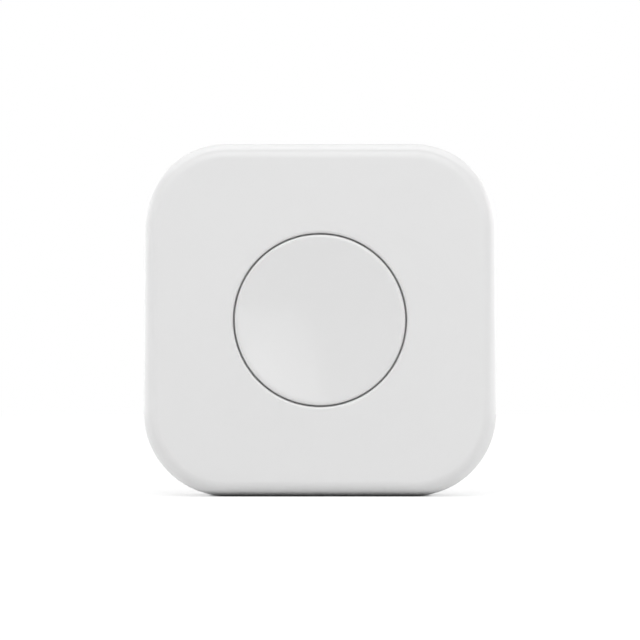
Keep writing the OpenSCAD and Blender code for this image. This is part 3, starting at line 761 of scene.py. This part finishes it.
class BUTTON_OT_cap(Operator):
    """Makes the dished press cap, with its skirt, flange, ribs and post"""

    bl_idname = "wireless_button.cap"
    bl_label = "Cap"

    def execute(self, context):
        settings = context.scene.button_cap
        r = context.scene.button_casing.opening_r - settings.gap
        edge = settings.edge
        face_r = r - edge
        dish_r = (face_r ** 2 + settings.dish_depth ** 2) / (2 * settings.dish_depth)
        centre = CASING_D - settings.dish_depth + dish_r
        section = [(0, CASING_D - settings.dish_depth)]
        for i in range(1, DISH_RINGS + 1):
            radius = face_r * i / DISH_RINGS
            section.append((radius, centre - sqrt(dish_r ** 2 - radius ** 2)))
        for t in quarter_round(BREAK_STEPS)[1:]:
            section.append((face_r + edge * sin(t), CASING_D - edge * (1 - cos(t))))
        section += [
            (r, Z_FRONT_IN), (FLANGE_R, Z_FRONT_IN), (FLANGE_R, Z_FLANGE), (SKIRT_R, Z_FLANGE),
            (SKIRT_R, Z_CAP_UNDER), (POST_R, Z_CAP_UNDER), (POST_R, Z_POST), (0, Z_POST),
        ]
        cap = turned_piece("cap_moulding", section)
        ribs = [
            (bar(POST_R / 2, SKIRT_R + LAP, RIB_T, t), Z_CAP_UNDER - RIB_H, Z_CAP_UNDER + LAP)
            for t in around(RIB_COUNT)
        ]
        slots = [
            (bar(KEY_SLOT_R, FLANGE_R + 2 * LAP, KEY_SLOT_W, t), Z_FLANGE - LAP, Z_FRONT_IN + LAP)
            for t in around(KEY_COUNT)
        ]
        shape_with(cap, ribs, "UNION")
        shape_with(cap, slots, "DIFFERENCE")
        finish = moulded_plastic(
            "cap_plastic", settings.colour, settings.roughness, CAP_GRAIN_DEPTH)
        fit(cap, finish, "button", "button_cap")
        return {"FINISHED"}


class BUTTON_OT_base(Operator):
    """Makes the moulded base, with its pad recess, door opening, lip, posts and marks"""

    bl_idname = "wireless_button.base"
    bl_label = "Base"

    def execute(self, context):
        casing = context.scene.button_casing
        edge, lip = casing.rear_edge, casing.edge_break
        door_hole = DOOR_R + DOOR_GAP
        neck_hole = NECK_R + DOOR_GAP
        z_ledge = DOOR_FLANGE_T + DOOR_GAP
        island_r = PAD_HOLE_R - PAD_FIT

        def rim(inset):
            return rounded_square(RIM_W - 2 * inset, RIM_R - inset)

        def door_outline(inset):
            return disc(door_hole + inset)

        recess = rounded_square(PAD_W + 2 * PAD_FIT, PAD_R + PAD_FIT)
        plate = rounded_square(PLATE_W, PLATE_R)
        lip_in = rounded_square(PLATE_W - 2 * LIP_T, PLATE_R - LIP_T)
        rings = [(disc(neck_hole), BASE_T), (disc(neck_hole), z_ledge), (disc(door_hole), z_ledge)]
        rings += onto_face(door_outline, lip, 0, 1)
        rings.append((door_outline(lip + FLAT_BAND), 0))
        rings += [(disc(island_r), 0), (disc(island_r), PAD_RECESS)]
        rings += [(recess, PAD_RECESS), (recess, 0)]
        rings.append((rim(edge + FLAT_BAND), 0))
        rings += off_face(rim, edge, 0, 1, EDGE_STEPS // 2)
        rings += onto_face(rim, RIM_BREAK, RIM_H, -1)
        rings += [(plate, RIM_H), (plate, Z_LIP), (lip_in, Z_LIP), (lip_in, BASE_T)]
        seat_in, seat_out = disc(SEAT_RING_R), disc(SEAT_RING_R + SEAT_RING_T)
        rings += [(seat_out, BASE_T), (seat_out, Z_SEAT_RING)]
        rings += [(seat_in, Z_SEAT_RING), (seat_in, BASE_T)]
        base = skinned("base_moulding", rings)
        corners = at_corners(SCREW_PLACE)
        stop_in = NECK_R + 2 * DOOR_GAP
        stops = [
            (sector(stop_in, LUG_R, STOP_ANGLE, t + turn), BASE_T - LAP, BASE_T + LUG_T)
            for t in around(LUG_COUNT) for turn in STOP_TURNS
        ]
        posts = [(post(BOSS_R, x, y), BASE_T - LAP, Z_BOARD_BACK) for x, y in corners]
        notches = [
            (sector(NECK_R, LUG_R + DOOR_GAP, NOTCH_ANGLE, t - TWIST), z_ledge - LAP, BASE_T + LAP)
            for t in around(LUG_COUNT)
        ]
        holes = [(post(SCREW_HOLE_R, x, y), Z_HEAD - LAP, Z_BOARD_BACK + LAP) for x, y in corners]
        seats = [(post(HEAD_HOLE_R, x, y), PAD_RECESS - LAP, Z_HEAD) for x, y in corners]
        dots = [
            (post(DOT_R, -DOT_RING_R * sin(turn), DOT_RING_R * cos(turn)), -LAP, DOT_DEPTH)
            for turn in (0, -TWIST)
        ]
        shape_with(base, stops + posts, "UNION")
        shape_with(base, notches, "DIFFERENCE")
        shape_with(base, holes, "DIFFERENCE")
        shape_with(base, seats + dots, "DIFFERENCE")
        finish = moulded_plastic(
            "base_plastic", casing.colour, BACK_ROUGHNESS, CASING_GRAIN_DEPTH)
        fit(base, finish, "housing", "base_plate")
        return {"FINISHED"}


class BUTTON_OT_door(Operator):
    """Makes the battery door, with its coin slot, pocket, lugs and mark"""

    bl_idname = "wireless_button.door"
    bl_label = "Battery door"

    def execute(self, context):
        settings = context.scene.button_door
        lip = context.scene.button_casing.edge_break

        def slot(grow):
            return slot_outline(settings.slot_l + 2 * grow, settings.slot_w + 2 * grow)

        def slot_floor(inset):
            return slot(-inset)

        def door_outline(inset):
            return disc(DOOR_R - inset)

        rings = off_face(slot_floor, lip, settings.slot_depth, -1)
        rings += onto_face(slot, lip, 0, 1)
        rings.append((slot(lip + FLAT_BAND), 0))
        rings.append((door_outline(lip + FLAT_BAND), 0))
        rings += off_face(door_outline, lip, 0, 1)
        rings += [
            (disc(DOOR_R), DOOR_FLANGE_T), (disc(NECK_R), DOOR_FLANGE_T), (disc(NECK_R), Z_NECK),
            (disc(POCKET_R), Z_NECK), (disc(POCKET_R), DOOR_FLOOR),
        ]
        door = skinned("door_moulding", rings, closed=False)
        lugs = [
            (sector(NECK_R - LAP, LUG_R, LUG_ANGLE, t), Z_NECK - LUG_T, Z_NECK - LUG_DROP)
            for t in around(LUG_COUNT)
        ]
        shape_with(door, lugs, "UNION")
        shape_with(door, [(post(DOT_R, 0, DOOR_DOT_R), -LAP, DOT_DEPTH)], "DIFFERENCE")
        colour = context.scene.button_casing.colour
        finish = moulded_plastic("door_plastic", colour, BACK_ROUGHNESS, CASING_GRAIN_DEPTH)
        fit(door, finish, "door", "battery_door")
        return {"FINISHED"}


class BUTTON_OT_pad(Operator):
    """Makes the foam pad, with soft cut edges"""

    bl_idname = "wireless_button.pad"
    bl_label = "Foam pad"

    def execute(self, context):
        settings = context.scene.button_pad
        low, high = -PAD_PROUD, PAD_T - PAD_PROUD

        def cut(inset):
            return rounded_square(PAD_W - 2 * inset, PAD_R - inset)

        def hole(inset):
            return disc(PAD_HOLE_R + inset)

        rings = off_face(cut, PAD_SOFT, low, 1) + onto_face(cut, PAD_SOFT, high, -1)
        rings += off_face(hole, PAD_SOFT, high, -1) + onto_face(hole, PAD_SOFT, low, 1)
        pad = skinned("foam_pad", rings)
        fit(pad, pad_foam(settings.colour, settings.cell), "housing", "mounting_pad")
        return {"FINISHED"}


class BUTTON_OT_dome(Operator):
    """Makes the snap dome under the switch's plunger"""

    bl_idname = "wireless_button.dome"
    bl_label = "Snap dome"

    def execute(self, context):
        sphere_r = (DOME_R ** 2 + DOME_H ** 2) / (2 * DOME_H)
        centre = Z_DOME + DOME_H - sphere_r
        inner_r = sphere_r - DOME_T
        inner_rim = sqrt(inner_r ** 2 - (Z_DOME - centre) ** 2)
        section = []
        for i in range(DOME_RINGS + 1):
            radius = DOME_R * i / DOME_RINGS
            section.append((radius, centre + sqrt(sphere_r ** 2 - radius ** 2)))
        for i in range(DOME_RINGS + 1):
            radius = inner_rim * (1 - i / DOME_RINGS)
            section.append((radius, centre + sqrt(inner_r ** 2 - radius ** 2)))
        dome = turned_piece("snap_dome", section)
        finish = plated_metal("dome_steel", "steel", roughness=(0.18, 0.3))
        fit(dome, finish, "housing", "switch_dome")
        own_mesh(dome)
        return {"FINISHED"}


class BUTTON_OT_inside(Operator):
    """Gives the pieces inside the casing their finishes"""

    bl_idname = "wireless_button.inside"
    bl_label = "Inside finishes"

    def execute(self, context):
        steel = plated_metal(
            "nickel_steel", "steel", roughness=(0.22, 0.38), stretch=(ROLLED, 1, 1))
        tinned = plated_metal("tinned_metal", "tinned", roughness=(0.3, 0.5))
        gold = plated_metal(
            "gold_strip", "contact", roughness=(0.2, 0.34), stretch=(1, 1, ROLLED))
        black = moulded_body("switch_black", "switch_body", roughness=0.55)
        chip = moulded_body("chip_black", "chip", roughness=0.5)
        ceramic = moulded_body("pale_ceramic", "ceramic", roughness=0.4)
        tan = moulded_body("tan_ceramic", "capacitor", roughness=0.45)
        finishes = {
            "battery_tray": moulded_body("tray_plastic", "tray", roughness=0.5),
            "case_screws": steel,
            "circuit_board": solder_mask(record_colour("board")),
            "switch_base": black,
            "switch_cover": steel,
            "switch_terminals": tinned,
            "switch_plunger": black,
            "radio_chip": chip,
            "crystals": tinned,
            "chip_antenna": ceramic,
            "bulk_capacitor": tan,
            "chip_passives": tan,
            "status_led": moulded_body("led_resin", "led", roughness=0.25),
            "negative_contact": gold,
            "positive_contact": gold,
            "cell_can": steel,
            "cell_gasket": moulded_body("gasket_polymer", "gasket", roughness=0.5),
            "cell_cap": steel,
            "cell_core": moulded_body("pressed_pellet", "chemistry", roughness=0.8),
        }
        for name, finish in finishes.items():
            node = frame["nodes"][name]
            for slot in node.material_slots:
                slot.material = finish
        return {"FINISHED"}


class BUTTON_OT_stage(Operator):
    """Makes the floor, the studio light and the camera"""

    bl_idname = "wireless_button.stage"
    bl_label = "Stage"

    def execute(self, context):
        settings = context.scene.button_stage
        context.scene.view_settings.view_transform = "Standard"
        self.make_room(context.scene, settings.ambient)
        self.make_floor(settings.floor_colour)
        self.make_softboxes(settings)
        self.make_camera(context.scene, settings)
        return {"FINISHED"}

    def seen_rays(self, tree):
        """1 for the rays that see the background: those of the camera, gloss and clear pieces."""
        path = tree.nodes.new("ShaderNodeLightPath")
        first = tree.nodes.new("ShaderNodeMath")
        second = tree.nodes.new("ShaderNodeMath")
        first.operation = second.operation = "MAXIMUM"
        tree.links.new(path.outputs["Is Camera Ray"], first.inputs[0])
        tree.links.new(path.outputs["Is Glossy Ray"], first.inputs[1])
        tree.links.new(first.outputs["Value"], second.inputs[0])
        tree.links.new(path.outputs["Is Transmission Ray"], second.inputs[1])
        return second.outputs["Value"]

    def make_room(self, scene, ambient):
        """White room: white where it is seen, with its own strength as a light."""
        world = bpy.data.worlds.new("white_room")
        scene.world = world
        world.use_nodes = True
        tree = world.node_tree
        background = tree.nodes["Background"]
        background.inputs["Color"].default_value = (1, 1, 1, 1)
        strength = tree.nodes.new("ShaderNodeMapRange")
        strength.inputs["To Min"].default_value = ambient
        strength.inputs["To Max"].default_value = 1
        tree.links.new(self.seen_rays(tree), strength.inputs["Value"])
        tree.links.new(strength.outputs["Result"], background.inputs["Strength"])

    def make_floor(self, colour):
        """Pale floor that looks white, apart from the button's shadow, with painted shade and shadow where the two
        touch.
        """
        bm = bmesh.new()
        corners = [(-1, -1), (1, -1), (1, 1), (-1, 1)]
        bm.faces.new([bm.verts.new((x * FLOOR_HALF, y * FLOOR_HALF, 0)) for x, y in corners])
        floor = piece_from("studio_floor", bm)
        finish = Finish("white_floor")
        finish.tree.nodes.remove(finish.shader)
        lit = finish.add("ShaderNodeBsdfDiffuse")
        # Painted shade: as it lights the button, the floor's colour turns black where the button touches it
        lit_painted_shade = finish.painted_crevice_shade(PAINTED_SHADE_REACH, *PAINTED_SHADE_RANGE)
        finish.link(finish.mixed(lit_painted_shade, (0, 0, 0), colour), lit.inputs["Color"])
        shadowed = finish.add("ShaderNodeBsdfDiffuse")
        shadowed.inputs["Color"].default_value = (SEEN_SHARE, SEEN_SHARE, SEEN_SHARE, 1)
        glow = finish.add("ShaderNodeEmission")
        # Painted shadow: the floor's glow that the camera sees fades to dark where the button touches it
        seen_painted_shadow = finish.painted_crevice_shade(SEEN_PAINTED_SHADOW_REACH, *SEEN_PAINTED_SHADOW_RANGE, SEEN_GLOW)
        finish.link(seen_painted_shadow, glow.inputs["Strength"])
        close = finish.add("ShaderNodeAddShader")
        finish.link(shadowed.outputs["BSDF"], close.inputs[0])
        finish.link(glow.outputs["Emission"], close.inputs[1])
        distance = finish.add("ShaderNodeVectorMath", operation="LENGTH")
        finish.link(finish.place, distance.inputs[0])
        white = finish.add("ShaderNodeEmission")
        seen = finish.blended(
            finish.spread(distance.outputs["Value"], 0, 1, FLOOR_NEAR, FLOOR_FAR),
            close.outputs["Shader"], white.outputs["Emission"])
        shown = finish.blended(self.seen_rays(finish.tree), lit.outputs["BSDF"], seen)
        finish.link(shown, finish.tree.nodes["Material Output"].inputs["Surface"])
        floor.data.materials.append(finish.material)

    def softbox(self, name, power, size, centre, across, up, mirrored=True):
        """Rectangular lamp that spans across and up, and shines against their cross product."""
        lamp = bpy.data.lights.new(name, "AREA")
        lamp.energy = power
        lamp.shape = "RECTANGLE"
        lamp.size, lamp.size_y = size
        holder = bpy.data.objects.new(name, lamp)
        across, up = Vector(across).normalized(), Vector(up).normalized()
        turn = Matrix((across, up, across.cross(up))).transposed().to_4x4()
        holder.matrix_world = Matrix.Translation(centre) @ turn
        holder.visible_camera = False
        holder.visible_glossy = mirrored
        bpy.context.scene.collection.objects.link(holder)
        return lamp

    def aimed_softbox(self, name, power, size, place, mirrored):
        """Softbox that faces the button."""
        facing = (Vector((0, 0, MIDDLE_Z)) - Vector(place)).normalized()
        across = facing.cross((0, 0, 1))
        self.softbox(name, power, size, place, across, across.cross(facing), mirrored)

    def dim_rim(self, lamp, share, depth):
        """Dims a softbox to a share of its light along two of its edges."""
        lamp.use_nodes = True
        tree = lamp.node_tree
        across = tree.nodes.new("ShaderNodeSeparateXYZ")
        place = tree.nodes.new("ShaderNodeNewGeometry").outputs["Parametric"]
        tree.links.new(place, across.inputs["Vector"])
        product = tree.nodes.new("ShaderNodeMath")
        product.operation = "MULTIPLY"
        for axis, socket in zip("XY", product.inputs):
            ramp = tree.nodes.new("ShaderNodeMapRange")
            ramp.inputs["From Max"].default_value = depth
            ramp.inputs["To Min"].default_value = share
            tree.links.new(across.outputs[axis], ramp.inputs["Value"])
            tree.links.new(ramp.outputs["Result"], socket)
        tree.links.new(product.outputs["Value"], tree.nodes["Emission"].inputs["Strength"])

    def make_softboxes(self, settings):
        for name, (size, place, mirrored) in SOFTBOXES.items():
            self.aimed_softbox(f"{name}_softbox", getattr(settings, name), size, place, mirrored)
        middle = KEY_LAMP_CORNER + (KEY_LAMP_ACROSS + KEY_LAMP_UP) * KEY_LAMP_SIZE / 2
        key = self.softbox(
            "key_softbox", settings.key, (KEY_LAMP_SIZE, KEY_LAMP_SIZE), middle,
            KEY_LAMP_ACROSS, KEY_LAMP_UP)
        self.dim_rim(key, KEY_LAMP_DIM_SHARE, KEY_LAMP_DIM_DEPTH)

    def make_camera(self, scene, settings):
        camera = bpy.data.cameras.new("front_camera")
        camera.lens = settings.lens
        camera.clip_start = CAMERA_CLIP
        holder = bpy.data.objects.new("front_camera", camera)
        widest_y = COVER_LO.y + casing_edge(scene.button_casing)[-1][1]
        distance = CASING_W / settings.casing_share * settings.lens / camera.sensor_width
        holder.location = (0, widest_y - distance, MIDDLE_Z)
        holder.rotation_euler = (pi / 2, 0, 0)
        scene.collection.objects.link(holder)
        scene.camera = holder


class BUTTON_PT_panel(Panel):
    """Lists the pieces and their settings."""

    bl_label = "Wireless button"
    bl_idname = "BUTTON_PT_panel"
    bl_space_type = "VIEW_3D"
    bl_region_type = "UI"
    bl_category = "Wireless button"

    def draw(self, context):
        for operator in OPERATORS:
            self.layout.operator(operator.bl_idname)
        for name, group in SETTINGS.items():
            box = self.layout.box()
            settings = getattr(context.scene, name)
            for field in group.__annotations__:
                box.prop(settings, field)


SETTINGS = {
    "button_casing": CasingSettings,
    "button_cap": CapSettings,
    "button_door": DoorSettings,
    "button_pad": PadSettings,
    "button_stage": StageSettings,
}
OPERATORS = (
    BUTTON_OT_cover,
    BUTTON_OT_cap,
    BUTTON_OT_base,
    BUTTON_OT_door,
    BUTTON_OT_pad,
    BUTTON_OT_dome,
    BUTTON_OT_inside,
    BUTTON_OT_stage,
)
CLASSES = (*SETTINGS.values(), *OPERATORS, BUTTON_PT_panel)


def register():
    for cls in CLASSES:
        bpy.utils.register_class(cls)
    for name, group in SETTINGS.items():
        setattr(bpy.types.Scene, name, PointerProperty(type=group))


def unregister():
    for name in SETTINGS:
        delattr(bpy.types.Scene, name)
    for cls in reversed(CLASSES):
        bpy.utils.unregister_class(cls)


def main():
    register()
    bpy.ops.wireless_button.cover()
    bpy.ops.wireless_button.cap()
    bpy.ops.wireless_button.base()
    bpy.ops.wireless_button.door()
    bpy.ops.wireless_button.pad()
    bpy.ops.wireless_button.dome()
    bpy.ops.wireless_button.inside()
    bpy.ops.wireless_button.stage()


if __name__ == "__main__":
    main()
